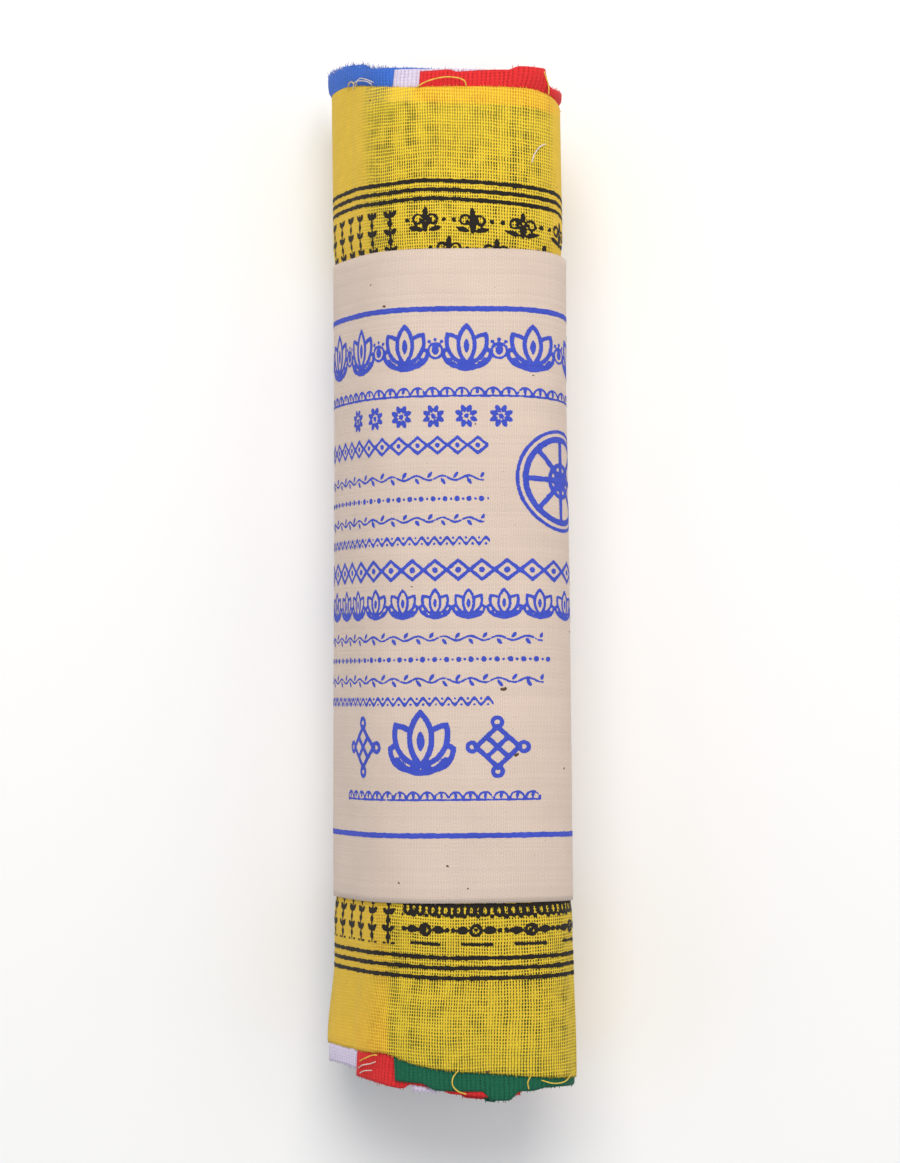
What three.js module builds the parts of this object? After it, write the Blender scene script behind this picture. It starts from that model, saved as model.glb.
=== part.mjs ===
// A roll of prayer flags, lying on its side: a pile of cloth flags wound up together, and the
// cotton label band that goes round it. Millimetres, +Z up, +Y along the roll.
import * as THREE from 'three';

// The pile of flags
const PILE_TURNS = 2;           // how often the pile goes round
const EYE_RADIUS = 4;           // the empty eye that the winding starts on
const TURN_GAP = 0.5;           // air between one turn and the next
const FREE_EDGE = 1.2;          // thickness of the outer flag at its free edge
const FREE_EDGE_AT = 212;       // where that edge lies, in degrees from +X towards +Z

// The roll's section is an oval that leans, with slight shoulders
const SECTION_RADIUS = 25.6;
const OVAL = 0.089;
const OVAL_LEAN = 40.5;
const SHOULDER = 0.05;
const SHOULDER_LEAN = 32.7;
const REST_DEPTH = 24.2;        // from the roll's axis down to the surface that it lies on

// The outer flag is 216 mm high, and its two cut ends run askew. The flags under it reach
// further, and so do the inner ones a little more for each millimetre inwards.
const TOP_END = { middle: 109.5, side: -3.5, crown: -1.5, step: 3.8, slope: 0.16 };
const BOTTOM_END = { middle: -108, side: -2.8, crown: 0.2, step: -4.4, slope: -0.2 };
const OUTER_FLAGS = 1;          // depth of the outer flags, which keep back from the ends
const LEAF_STEPS = [0, 0.7, -0.5, 0.4, -0.6, 0.2];  // uneven leaves across the pile, at the ends

// The label band, a strip of cotton lapped over itself
const BAND_LENGTH = 143.6;
const BAND_MIDDLE = 0.2;
const BAND_THICKNESS = 1.1;
const BAND_GAP = 0.3;
const BAND_BULGE = 0.2;         // how far the band stands out past the section
const BAND_SEAM_AT = 312;
const BAND_LAP = 18;            // degrees by which the band laps over itself
const BAND_LAP_RISE = 24;       // degrees in which the lapping end lifts over the other

// Steps of the meshes
const STEPS_PER_TURN = 40;
const BAND_STEPS_PER_TURN = 60;

const { degToRad, lerp, smoothstep } = THREE.MathUtils;

// Radius of the section at an angle: a circle with two and four soft lobes.
function sectionRadius(angle) {
  const oval = OVAL * Math.cos(2 * (angle - degToRad(OVAL_LEAN)));
  const shoulder = SHOULDER * Math.cos(4 * (angle - degToRad(SHOULDER_LEAN)));
  return SECTION_RADIUS * (1 + oval + shoulder);
}

// Girth of the roll along its length, as a share of the section: even at the upper end, and
// flared where the lower end has slackened.
function girth(y) {
  return 0.985 + 0.03 * smoothstep(-y, -80, 70) + 0.042 * smoothstep(-y, 84, 104);
}

// A soft unevenness of the cloth, round and along the roll.
function slack(angle, y) {
  return 0.15 * Math.sin(3 * angle + y / 45) + 0.1 * Math.sin(5 * angle - y / 30 + 1);
}

// Radius of the outer face, drawn in by an inset. The surface below cuts it flat.
function faceRadius(angle, y, inset) {
  const free = sectionRadius(angle) * girth(y) + slack(angle, y) - inset;
  const down = -Math.sin(angle);
  return down > 0 ? Math.min(free, (REST_DEPTH - Math.max(inset, 0)) / down) : free;
}

function pointAt(radius, angle, y) {
  return new THREE.Vector3(radius * Math.cos(angle), y, radius * Math.sin(angle));
}

// The closed skin of a wound sheet. place(i, k, j) gives its grid points: i counts round the
// winding, k through the thickness from the outer side, and j along the roll.
function woundSkin(around, through, along, place) {
  const points = [];
  const numbers = new Map();
  const corner = (i, k, j) => {
    const key = `${i} ${k} ${j}`;
    if (!numbers.has(key)) numbers.set(key, points.push(place(i, k, j)) - 1);
    return numbers.get(key);
  };
  const faces = [];
  const patch = (columns, rows, at, turned) => {
    for (let a = 0; a < columns; a++) {
      for (let b = 0; b < rows; b++) {
        const quad = [at(a, b), at(a + 1, b), at(a + 1, b + 1), at(a, b + 1)];
        if (turned) quad.reverse();
        faces.push(quad[0], quad[1], quad[2], quad[0], quad[2], quad[3]);
      }
    }
  };
  patch(around, along, (a, b) => corner(a, 0, b), true);
  patch(around, along, (a, b) => corner(a, through, b), false);
  patch(around, through, (a, b) => corner(a, b, 0), false);
  patch(around, through, (a, b) => corner(a, b, along), true);
  patch(through, along, (a, b) => corner(0, a, b), false);
  patch(through, along, (a, b) => corner(around, a, b), true);
  const geometry = new THREE.BufferGeometry().setFromPoints(points);
  geometry.setIndex(faces);
  geometry.computeVertexNormals();
  return geometry;
}

// The pile of flags as one thick cloth, wound two turns out from its eye. Over its last turn it
// thins to the outer flag's free edge, as the flags in it end one after another.
function flagRoll() {
  const pitch = (SECTION_RADIUS - EYE_RADIUS) / PILE_TURNS;
  const lastTurn = PILE_TURNS - FREE_EDGE / pitch;
  const around = Math.round(lastTurn * STEPS_PER_TURN);
  const turnOf = (i) => lastTurn * i / around;
  const angleOf = (i) => degToRad(FREE_EDGE_AT) + 2 * Math.PI * (turnOf(i) - lastTurn);

  // Depth below the outer face, of the inner and the outer side of the pile at a turn
  const innerDepth = (turn) => SECTION_RADIUS - EYE_RADIUS - pitch * turn;
  const outerDepth = (turn) => (turn < PILE_TURNS - 1 ? innerDepth(turn + 1) + TURN_GAP : 0);
  const through = LEAF_STEPS.length + 1;
  const depthOf = (i, k) => {
    const outside = outerDepth(turnOf(i));
    const inside = innerDepth(turnOf(i));
    const ledge = Math.min(outside + OUTER_FLAGS, lerp(outside, inside, 0.6));
    const riser = lerp(ledge, inside, 0.04);
    if (k < 2) return [outside, ledge][k];
    return lerp(riser, inside, (k - 2) / (through - 2));
  };

  // Height of an end: askew round the roll, with a step behind the outer flags, then a slope
  const endHeight = (end, i, k) => {
    const angle = angleOf(i);
    const depth = depthOf(i, k);
    const rim = end.middle + end.side * Math.cos(angle) + end.crown * Math.sin(angle);
    const onTheFace = turnOf(i) >= PILE_TURNS - 1;
    if (onTheFace && k < 2) return rim;
    const leaf = LEAF_STEPS[Math.min(k, LEAF_STEPS.length - 1)] * Math.sign(end.middle);
    return rim + end.step + end.slope * Math.min(depth, pitch) + leaf;
  };

  // The flags are drawn in under the label band, over a short slope at each of its edges
  const edge = BAND_LENGTH / 2 + BAND_GAP;
  const slope = 2;
  const room = BAND_THICKNESS + BAND_GAP - BAND_BULGE;
  const below = [0, 0.25, 0.6, 0.85, 1];
  const under = [0, 0.33, 0.67, 1];
  const above = [0, 0.15, 0.4, 0.75, 1];
  const heightOf = (i, k, j) => {
    if (j < below.length) {
      return lerp(endHeight(BOTTOM_END, i, k), BAND_MIDDLE - edge - slope, below[j]);
    }
    if (j < below.length + under.length) {
      return BAND_MIDDLE + lerp(-edge, edge, under[j - below.length]);
    }
    return lerp(BAND_MIDDLE + edge + slope, endHeight(TOP_END, i, k), above[j - below.length - under.length]);
  };
  const along = below.length + under.length + above.length - 1;
  const place = (i, k, j) => {
    const y = heightOf(i, k, j);
    const past = Math.abs(y - BAND_MIDDLE) - edge;
    const inset = room * (1 - smoothstep(past, 0, slope));
    const share = 1 - depthOf(i, k) / SECTION_RADIUS;
    return pointAt(share * faceRadius(angleOf(i), y, inset), angleOf(i), y);
  };
  return woundSkin(around, through, along, place);
}

// The label band: its end laps over itself low on the right-hand side.
function labelBand() {
  const degrees = 360 + BAND_LAP;
  const around = Math.round(BAND_STEPS_PER_TURN * degrees / 360);
  const shares = [-0.5, -0.3, 0, 0.3, 0.5];
  const place = (i, k, j) => {
    const degree = degrees * i / around;
    const angle = degToRad(BAND_SEAM_AT + degree);
    const y = BAND_MIDDLE + shares[j] * BAND_LENGTH;
    const lift = (BAND_THICKNESS + BAND_GAP) * smoothstep(degree, 360 - BAND_LAP_RISE, 360);
    const radius = faceRadius(angle, y, -BAND_BULGE) + lift - k * BAND_THICKNESS;
    return pointAt(radius, angle, y);
  };
  return woundSkin(around, 1, shares.length - 1, place);
}

function piece(name, geometry, color) {
  const material = new THREE.MeshStandardMaterial({ color, roughness: 0.95, metalness: 0 });
  const mesh = new THREE.Mesh(geometry, material);
  mesh.name = name;
  return mesh;
}

const YELLOW_COTTON = 0xd4b83a;
const UNBLEACHED_COTTON = 0xe2ccb9;

const prayerFlagRoll = new THREE.Group();
prayerFlagRoll.add(
  piece('flag_roll', flagRoll(), YELLOW_COTTON),
  piece('label_band', labelBand(), UNBLEACHED_COTTON),
);

// The origin is in the middle of the roll's footprint, on the surface that it lies on
const box = new THREE.Box3().setFromObject(prayerFlagRoll);
const middle = box.getCenter(new THREE.Vector3());
prayerFlagRoll.position.set(-middle.x, -middle.y, -box.min.z);

export default prayerFlagRoll;
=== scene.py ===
from functools import partial, reduce

import bpy
import numpy as np
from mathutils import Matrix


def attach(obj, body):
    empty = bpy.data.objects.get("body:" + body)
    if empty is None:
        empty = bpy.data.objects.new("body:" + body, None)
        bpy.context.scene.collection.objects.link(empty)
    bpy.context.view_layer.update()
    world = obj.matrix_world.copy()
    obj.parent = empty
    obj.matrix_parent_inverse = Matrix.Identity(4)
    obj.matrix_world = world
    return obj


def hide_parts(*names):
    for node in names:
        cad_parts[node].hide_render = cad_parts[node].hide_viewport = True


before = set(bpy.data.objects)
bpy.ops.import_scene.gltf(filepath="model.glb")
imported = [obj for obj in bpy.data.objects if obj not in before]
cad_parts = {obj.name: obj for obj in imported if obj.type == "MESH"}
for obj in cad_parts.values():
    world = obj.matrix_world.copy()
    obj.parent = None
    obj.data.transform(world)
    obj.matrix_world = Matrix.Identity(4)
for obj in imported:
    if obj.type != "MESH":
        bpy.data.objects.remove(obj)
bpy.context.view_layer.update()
scene = bpy.context.scene

# The camera looks down on the roll from above its lower half, as the photo does, with a long lens
# and a hair's turn, so that the roll leans a little to the left at its upper end.
CAMERA_PLACE = (0.0000, -0.0266, 0.6950)
CAMERA_TIP = 2.24               # degrees towards the upper end
CAMERA_TURN = -0.55             # degrees about its own line of sight
LENS_MM = 91.3                  # on a 36 mm sensor along the picture's height

camera_data = bpy.data.cameras.new("camera")
camera_data.sensor_width = 36.0
camera_data.lens = LENS_MM
camera = bpy.data.objects.new("camera", camera_data)
camera.location = CAMERA_PLACE
camera.rotation_euler = (np.radians(CAMERA_TIP), 0.0, np.radians(CAMERA_TURN))
scene.collection.objects.link(camera)
scene.camera = camera

# A pale studio floor under soft light: a warm panel beyond the roll's upper end, two weak ones at
# the sides, and a cool, pale surround that fills the shadows.
FLOOR_SIZE = 6.0
FLOOR_COLOR = (0.94, 0.94, 0.94, 1.0)
SURROUND = (0.93, 0.96, 1.0, 1.0)
SURROUND_STRENGTH = 0.50
PANELS = [
    # name, place, size, watts, color
    ("panel_top", (0.02, 0.46, 0.76), 0.6, 5.3, (1.0, 0.95, 0.89)),
    ("panel_left", (-1.0, -0.1, 0.7), 0.9, 1.8, (0.88, 0.95, 1.0)),
    ("panel_right", (1.0, 0.0, 0.8), 0.9, 2.6, (1.0, 0.97, 0.93)),
]

scene.view_settings.view_transform = "Standard"
scene.view_settings.look = "None"
world = bpy.data.worlds.new("surround")
scene.world = world
world.use_nodes = True
background = world.node_tree.nodes["Background"]
background.inputs["Color"].default_value = SURROUND
background.inputs["Strength"].default_value = SURROUND_STRENGTH

for name, place, size, watts, color in PANELS:
    light = bpy.data.lights.new(name, "AREA")
    light.size = size
    light.energy = watts
    light.color = color
    panel = bpy.data.objects.new(name, light)
    panel.location = place
    toward = -np.array(place)
    tip = np.arctan2(np.hypot(toward[0], toward[1]), -toward[2])
    panel.rotation_euler = (tip, 0.0, np.arctan2(toward[1], toward[0]) - np.pi / 2)
    scene.collection.objects.link(panel)

floor_mesh = bpy.data.meshes.new("floor")
reach = FLOOR_SIZE / 2
floor_corners = [(-reach, -reach, 0), (reach, -reach, 0), (reach, reach, 0), (-reach, reach, 0)]
floor_mesh.from_pydata(floor_corners, [], [(0, 1, 2, 3)])
floor = bpy.data.objects.new("floor", floor_mesh)
scene.collection.objects.link(floor)
floor_paint = bpy.data.materials.new("floor_paint")
floor_paint.use_nodes = True
floor_shader = floor_paint.node_tree.nodes["Principled BSDF"]
floor_shader.inputs["Base Color"].default_value = FLOOR_COLOR
floor_shader.inputs["Roughness"].default_value = 0.9
floor_mesh.materials.append(floor_paint)

# The pile of flags under the outer one: 24 pieces of thin cotton, cut about 220 mm by 190 mm, in
# sets of blue, white, red, green and yellow. They are laid on each other and wound up together,
# two turns round an empty eye, and each ends a little further round than the one above it.
AXIS = (0.17, -0.635, 24.2)     # the roll's axis in the frame, in mm
SECTION_RADIUS = 25.6
OVAL, OVAL_LEAN = 0.089, 40.5
SHOULDER, SHOULDER_LEAN = 0.05, 32.7
REST_DEPTH = 24.2
BAND_GRIP = 0.55                # how far the label band draws the flags in
BAND_HALF = 71.8
BAND_MIDDLE = 0.8
LAYER = 0.44                    # from one flag to the next
CLOTH = 0.26                    # thickness of the cotton
FLAG_WIDTH = 190.0
WOUND_DEGREES = 720.0
OUTER_SHARE = 0.985             # of the outer flag's width goes round the section's radius
CROWN = 450.0                   # the top of the roll, in degrees counted on from turn to turn
SLACK_FLARE = 0.042             # how much wider the slack lower end is, as a share of the girth
SLACK_SAG = 0.7                 # mm that it sags to the left


def smooth(x, start, stop):
    """Rises from 0 at start to 1 at stop: 3 t squared less 2 t cubed, where t is the share."""
    t = np.clip((x - start) / (stop - start), 0.0, 1.0)
    return t * t * (3.0 - 2.0 * t)


def slackened(y):
    """How far the roll has slackened: 0 along most of it, and rising to 1 at its lower end."""
    return smooth(-y, 84, 104)


def face_radius(angle, y, inset):
    """The outer face's radius: a circle with two and four soft lobes, times the girth along the
    roll, plus a soft slack, less the inset, and cut off by the surface below."""
    lobes = OVAL * np.cos(2 * (angle - np.radians(OVAL_LEAN)))
    lobes = lobes + SHOULDER * np.cos(4 * (angle - np.radians(SHOULDER_LEAN)))
    girth = 0.985 + 0.03 * smooth(-y, -80, 70) + SLACK_FLARE * slackened(y)
    slack = 0.15 * np.sin(3 * angle + y / 45) + 0.1 * np.sin(5 * angle - y / 30 + 1)
    free = SECTION_RADIUS * (1 + lobes) * girth + slack - inset
    down = np.maximum(-np.sin(angle), 1e-6)
    return np.minimum(free, (REST_DEPTH - np.maximum(inset, 0)) / down)


def rolled(depth, angle, y):
    """A point at a depth under the outer face, an angle round the axis and a height along it, in
    metres in the frame. The depth is taken as a share of the section's radius, so the layers
    keep the section's form, and the band draws them in between its edges. The slack lower end
    sags a little to the left."""
    inset = BAND_GRIP * (1 - smooth(np.abs(y - BAND_MIDDLE) - BAND_HALF, -1.0, 5.0))
    radius = (1 - depth / SECTION_RADIUS) * face_radius(angle, y, inset)
    x = radius * np.cos(angle) - SLACK_SAG * slackened(y)
    x, y, z = np.broadcast_arrays(x, y, radius * np.sin(angle))
    return (np.stack([x, y, z], axis=-1) + AXIS) / 1000


def mesh_object(name, points, faces, material, flat=None, smooth_faces=None):
    """An object from arrays of points, faces of four corners and, for a UV map, each point's flat
    place. A face that repeats a corner is a triangle."""
    mesh = bpy.data.meshes.new(name)
    corners = [tuple(dict.fromkeys(face)) for face in faces.tolist()]
    mesh.from_pydata(points.tolist(), [], corners)
    if smooth_faces is None:
        smooth_faces = np.ones(len(faces), bool)
    mesh.polygons.foreach_set("use_smooth", smooth_faces)
    if flat is not None:
        mesh.uv_layers.new(name="flat_cloth").data.foreach_set("uv", flat[faces.ravel()].ravel())
    mesh.materials.append(material)
    piece = bpy.data.objects.new(name, mesh)
    scene.collection.objects.link(piece)
    return piece


def cloth_object(name, outer, inner, flat, material):
    """A thin closed sheet from two grids of points: the outer face, the inner face turned round,
    and a strip along each of the four edges. flat is each point's place on the flat cloth."""
    columns, rows = outer.shape[:2]
    top = np.arange(columns * rows).reshape(columns, rows)
    under = top + columns * rows

    def quads(a, b, c, d):
        """Faces from four grids of corners, taken place by place."""
        return np.stack([a, b, c, d], axis=-1).reshape(-1, 4)

    sides = [quads(top[:-1, :-1], top[:-1, 1:], top[1:, 1:], top[1:, :-1]),
             quads(under[:-1, :-1], under[1:, :-1], under[1:, 1:], under[:-1, 1:])]
    edges = [quads(top[:-1, 0], top[1:, 0], under[1:, 0], under[:-1, 0]),
             quads(top[1:, -1], top[:-1, -1], under[:-1, -1], under[1:, -1]),
             quads(top[0, :-1], under[0, :-1], under[0, 1:], top[0, 1:]),
             quads(top[-1, 1:], under[-1, 1:], under[-1, :-1], top[-1, :-1])]
    faces = np.concatenate(sides + edges)
    smooth_faces = np.arange(len(faces)) < 2 * len(sides[0])
    points = np.concatenate([outer, inner]).reshape(-1, 3)
    places = np.concatenate([flat, flat]).reshape(-1, 2)
    return mesh_object(name, points, faces, material, places, smooth_faces)


def plug(tree, node, inputs):
    """Fills a node's inputs, by name or number, and returns its outputs. A socket is linked and a
    plain value is set, with full alpha after a colour where one is taken."""
    for key, value in inputs.items():
        socket = node.inputs[key]
        if isinstance(value, bpy.types.NodeSocket):
            tree.links.new(value, socket)
        elif isinstance(value, tuple):
            socket.default_value = (*value, 1.0)[:len(socket.default_value)]
        else:
            socket.default_value = value
    return node.outputs


def shader_math(tree, operation, *values):
    """A Math node on sockets or plain numbers, in their order."""
    node = tree.nodes.new("ShaderNodeMath")
    node.operation = operation
    return plug(tree, node, dict(enumerate(values)))[0]


def shader_scaled(tree, vector, by):
    """A vector or a colour times a number."""
    node = tree.nodes.new("ShaderNodeVectorMath")
    node.operation = "SCALE"
    return plug(tree, node, {0: vector, "Scale": by})[0]


def shader_mix(tree, share, first, second):
    """The first colour at share 0, the second at share 1, and mixed evenly between."""
    node = tree.nodes.new("ShaderNodeMix")
    node.data_type = "RGBA"
    return plug(tree, node, {0: share, 6: first, 7: second})[2]


def shader_noise(tree, vector, scale, detail=2.0):
    """A Noise node's value, about 0.5 on average."""
    node = tree.nodes.new("ShaderNodeTexNoise")
    return plug(tree, node, {"Vector": vector, "Scale": scale, "Detail": detail})["Fac"]


def shader_ramp(tree, value, low, high):
    """0 up to low, 1 from high on, and smooth between."""
    node = tree.nodes.new("ShaderNodeMapRange")
    node.interpolation_type = "SMOOTHSTEP"
    return plug(tree, node, {"Value": value, "From Min": low, "From Max": high})["Result"]


THREAD_ACROSS = 0.577           # mm from one thread to the next, 44 to the inch
THREAD_ALONG = 0.706            # mm, 36 to the inch
GAP_WIDTHS = (-0.30, -0.12)     # how much the gaps close, across the roll and along it


def cotton(name, color, hole_color, hole=(0.50, 0.80), deep=0.65, mottle=0.08, threads=1.0,
           fleck_color=None):
    """Plain-weave cotton on the flat cloth's UV map, in mm. The place along each thread gives a
    nearness to the gap beside it, and where both nearnesses are high, the hole between four
    threads shows in hole_color: for the cloths a dark colour that paints the shade in the holes,
    and for the inks a thinner ink. Each thread has its own width and tone, and they ride over
    and under, with painted shade where a thread dips under the one across it and beside the
    gaps. color and hole_color are colours, or names of colour attributes on the mesh."""
    material = bpy.data.materials.new(name)
    material.use_nodes = True
    tree = material.node_tree
    shader = tree.nodes["Principled BSDF"]
    plug(tree, shader, {"Roughness": 0.92, "Specular IOR Level": 0.12, "Sheen Weight": 0.06})
    uv_map = tree.nodes.new("ShaderNodeUVMap")
    uv_map.uv_map = "flat_cloth"
    flat = shader_scaled(tree, uv_map.outputs[0], 1000.0)
    axes = plug(tree, tree.nodes.new("ShaderNodeSeparateXYZ"), {0: flat})

    def painted(value):
        """The colour itself, or the socket of the attribute that holds it."""
        if not isinstance(value, str):
            return value
        attribute = tree.nodes.new("ShaderNodeAttribute")
        attribute.attribute_name = value
        return attribute.outputs["Color"]

    def math(operation, *values):
        """A Math node of this material, on sockets or plain numbers."""
        return shader_math(tree, operation, *values)

    gaps, tones, numbers = [], [], []
    for axis, pitch in ((0, THREAD_ACROSS * threads), (1, THREAD_ALONG * threads)):
        sway = math("SUBTRACT", shader_noise(tree, flat, 0.035 + 0.01 * axis), 0.5)
        jitter = math("SUBTRACT", shader_noise(tree, flat, 0.6 + 0.2 * axis), 0.5)
        place = math("DIVIDE", axes[axis], pitch)
        place = math("MULTIPLY_ADD", sway, 2.6, place)
        place = math("MULTIPLY_ADD", jitter, 0.55, place)
        number = math("FLOOR", place)
        white_noise = tree.nodes.new("ShaderNodeTexWhiteNoise")
        white_noise.noise_dimensions = "1D"
        tone = plug(tree, white_noise, {"W": math("ADD", number, 17.3 + 40 * axis)})["Value"]
        gap = math("FRACT", place)
        gap = math("ABSOLUTE", math("MULTIPLY_ADD", gap, 2.0, -1.0))
        wide = math("MULTIPLY_ADD", tone, 0.30, GAP_WIDTHS[axis])
        gaps.append(math("ADD", gap, wide))
        tones.append(tone)
        numbers.append(number)

    both = math("MINIMUM", *gaps)
    patches = math("MULTIPLY_ADD", shader_noise(tree, flat, 0.30, 3.0), 0.7, -0.35)
    holes = shader_ramp(tree, math("ADD", both, patches), *hole)
    over = math("PINGPONG", math("ADD", *numbers), 1.0)
    under = math("SUBTRACT", 1.0, over)
    sunk = math("MULTIPLY", math("POWER", gaps[0], 2.0), over)
    other = math("MULTIPLY", math("POWER", gaps[1], 2.0), under)
    sunk = math("ADD", sunk, other)

    tone = math("MULTIPLY", tones[0], over)
    tone = math("ADD", tone, math("MULTIPLY", tones[1], under))
    light = math("MULTIPLY_ADD", tone, 0.14, 1.0)
    # Painted shade: darker where a thread dips under the one across it, and beside the gaps between
    # threads.
    light = math("MULTIPLY_ADD", sunk, -0.05, light)
    beside = math("POWER", math("MAXIMUM", gaps[0], 0.0), 2.0)
    light = math("MULTIPLY_ADD", beside, -0.22, light)
    cloudy = shader_noise(tree, flat, 0.09, 4.0)
    cloudy = math("MULTIPLY_ADD", cloudy, 2 * mottle, 1 - mottle)
    light = math("MULTIPLY", light, cloudy)
    cloth_color = shader_scaled(tree, painted(color), light)
    if fleck_color is not None:
        specks = shader_noise(tree, flat, 1.7, 1.0)
        sparse = math("MULTIPLY_ADD", shader_noise(tree, flat, 0.16, 3.0), 0.16, -0.08)
        specks = shader_ramp(tree, math("ADD", specks, sparse), 0.735, 0.80)
        specks = math("MULTIPLY", specks, 0.55)
        cloth_color = shader_mix(tree, specks, cloth_color, fleck_color)
    # The holes show hole_color: painted shade for the cloths, and a thinner ink for the inks.
    share = math("MULTIPLY", holes, deep)
    whole = shader_mix(tree, share, cloth_color, painted(hole_color))
    height = math("MULTIPLY_ADD", holes, -1.0, math("SUBTRACT", 1.0, sunk))
    bump = tree.nodes.new("ShaderNodeBump")
    bumps = plug(tree, bump, {"Strength": 0.25, "Distance": 0.0001, "Height": height})
    plug(tree, shader, {"Base Color": whole, "Normal": bumps["Normal"]})
    return material


DYES = {
    "blue": (0.052, 0.155, 0.58),
    "white": (0.66, 0.58, 0.74),
    "red": (0.68, 0.030, 0.032),
    "green": (0.013, 0.115, 0.062),
    "yellow": (0.60, 0.43, 0.038),
}
# Painted shade in each dye's holes: the dye much darker, as the cloth under the holes lies in shade.
SHADED_HOLES = {
    "blue": (0.010, 0.035, 0.20),
    "white": (0.30, 0.25, 0.38),
    "red": (0.24, 0.008, 0.010),
    "green": (0.003, 0.028, 0.016),
    "yellow": (0.16, 0.11, 0.01),
}
flag_cloth = {dye: cotton(f"{dye}_cotton", color, SHADED_HOLES[dye]) for dye, color in DYES.items()}
FLAGS = 25
OUTER = FLAGS - 1               # the outer flag's number
flag_dye = [list(DYES)[number % len(DYES)] for number in range(FLAGS)]

# Where each flag ends round the roll in degrees, how that edge leans in degrees per mm along the
# roll, how far the flag reaches up and down the roll in mm, and how much each end tips sideways.
# The last one is the outer flag, whose start is tucked under the last four of the others.
draw = np.random.default_rng(7)
flag_end = 195 + 9.0 * (19 - np.arange(FLAGS)) + draw.uniform(-3, 3, FLAGS)
flag_lean = draw.uniform(-0.12, 0.12, FLAGS)
flag_up = 110.8 + draw.normal(0, 0.8, FLAGS)
flag_down = -109.6 + draw.normal(0, 0.9, FLAGS)
flag_tip_up = draw.uniform(0.8, 1.8, FLAGS)
flag_tip_down = draw.uniform(2.0, 3.0, FLAGS)
FIRST_SHOWN = 20                # those before it hardly show, and have coarser grids
SHOWN_FLAGS = {
    # number: end, lean, up, down, tip up, tip down
    20: (215, -0.05, 112.8, -105.6, 3.0, 2.0),
    21: (152, -0.30, 113.2, -109.7, 1.0, 1.5),
    22: (126, -0.20, 112.2, -112.2, -1.3, 3.0),
    23: (133, 0.13, 105.1, -111.8, 1.0, 0.9),
    OUTER: (572, 0.0, 108.0, -108.0, 0.0, 0.0),
}
measures = (flag_end, flag_lean, flag_up, flag_down, flag_tip_up, flag_tip_down)
for number, values in SHOWN_FLAGS.items():
    for measure, value in zip(measures, values):
        measure[number] = value
flag_span = np.full(FLAGS, WOUND_DEGREES)
flag_span[OUTER] = np.degrees(FLAG_WIDTH / SECTION_RADIUS) * OUTER_SHARE
flag_rank = np.arange(FLAGS, dtype=float)
flag_rank[OUTER] = 19.5

# Tongues and notches of single flags, where a corner is turned back or the cut ran off.
TONGUES = [
    # flag, end, from, to (degrees), softness, mm
    (20, 1, 146, 240, 14, 1.4),
    (22, 1, 39, 52, 6, 0.9),
    (22, 1, 88, 130, 5, 0.7),
    (22, 1, -60, 37.5, 1.0, -3.1),
    (21, 1, -60, 42, 3, -6.5),
    (20, 1, -60, 44, 3, -6.5),
    (19, 1, -60, 42, 4, -4.0),
    (18, 1, -60, 40, 4, -4.0),
    (0, 1, 320, 420, 10, -4.5),
    (1, 1, 310, 420, 10, -4.0),
    (2, 1, 300, 420, 10, -3.0),
    (22, -1, 118, 160, 8, -0.6),
    (22, -1, 96, 110, 5, 0.9),
    (22, -1, -60, 45, 22, 4.2),
    (23, -1, -60, 45, 8, 0.7),
    (23, -1, -60, 14, 8, 1.8),
    (23, -1, 63, 70, 5, -2.0),
    (23, -1, 105, 140, 8, 1.3),
    (21, -1, 98, 109, 4, -2.2),
    (21, -1, 40, 90, 4, 2.0),
    (17, -1, 62, 85, 5, -3.8),
    (12, -1, 97, 121, 5, -2.4),
    (16, -1, 86, 113, 4, -2.2),
    (19, -1, 50, 60, 3, -1.8),
    (18, -1, 66, 74, 3, -3.4),
]


def flag_there(number, turn, y):
    """1 where that flag lies at this angle (in degrees, counted on from turn to turn) and height,
    and 0 past its ends, with a short slope as the layers over it settle."""
    end = flag_end[number] + flag_lean[number] * y
    start = end - flag_span[number]
    return smooth(end - turn, -5.0, 0.0) * smooth(turn - start, -5.0, 0.0)


def flag_depth(number, turn, y):
    """Depth of a flag: a layer for each flag that lies over it, which is each higher one at the
    same angle and every one at the same angle a turn or two further on."""
    over = 0 * turn * y
    for other in range(FLAGS):
        if flag_rank[other] > flag_rank[number]:
            over = over + flag_there(other, turn, y)
        over = over + flag_there(other, turn + 360, y) + flag_there(other, turn + 720, y)
    return LAYER * over


END_ROWS = np.array([0, 0.7, 1.6, 3, 5, 8, 12, 18, 26, 30])
MIDDLE_ROWS = np.array([-78, -75, -72, -69, -40, 0, 40, 70, 73, 76, 79])


def near_cut(number, rows):
    """1 at both of a flag's cut ends, and falling away into the roll: the exponential of minus
    the distance from the cut over 7 mm."""
    to_end = np.minimum(rows - flag_down[number], flag_up[number] - rows)
    return np.exp(-np.maximum(to_end, 0) / 7.0)


def flag_ends(number, turn, rows):
    """How far up a flag's point moves: its ends tip sideways, wave a little near the cut, and
    have their tongues and notches."""
    angle = np.radians(turn)
    wave = 0.35 * np.sin(1.7 * angle + 1.3 * number) + 0.22 * np.sin(4.3 * angle + number)
    tip_up, tip_down = flag_tip_up[number], flag_tip_down[number]
    tip = tip_down + (tip_up - tip_down) * smooth(rows, -60, 60)
    move = -tip * np.cos(angle) + wave * near_cut(number, rows)
    for flag, end, start, stop, softness, height in TONGUES:
        if flag == number:
            there = smooth(turn, start - softness, start) * smooth(-turn, -stop - softness, -stop)
            move = move + height * there * smooth(end * rows, 84, 107)
    return move


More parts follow.
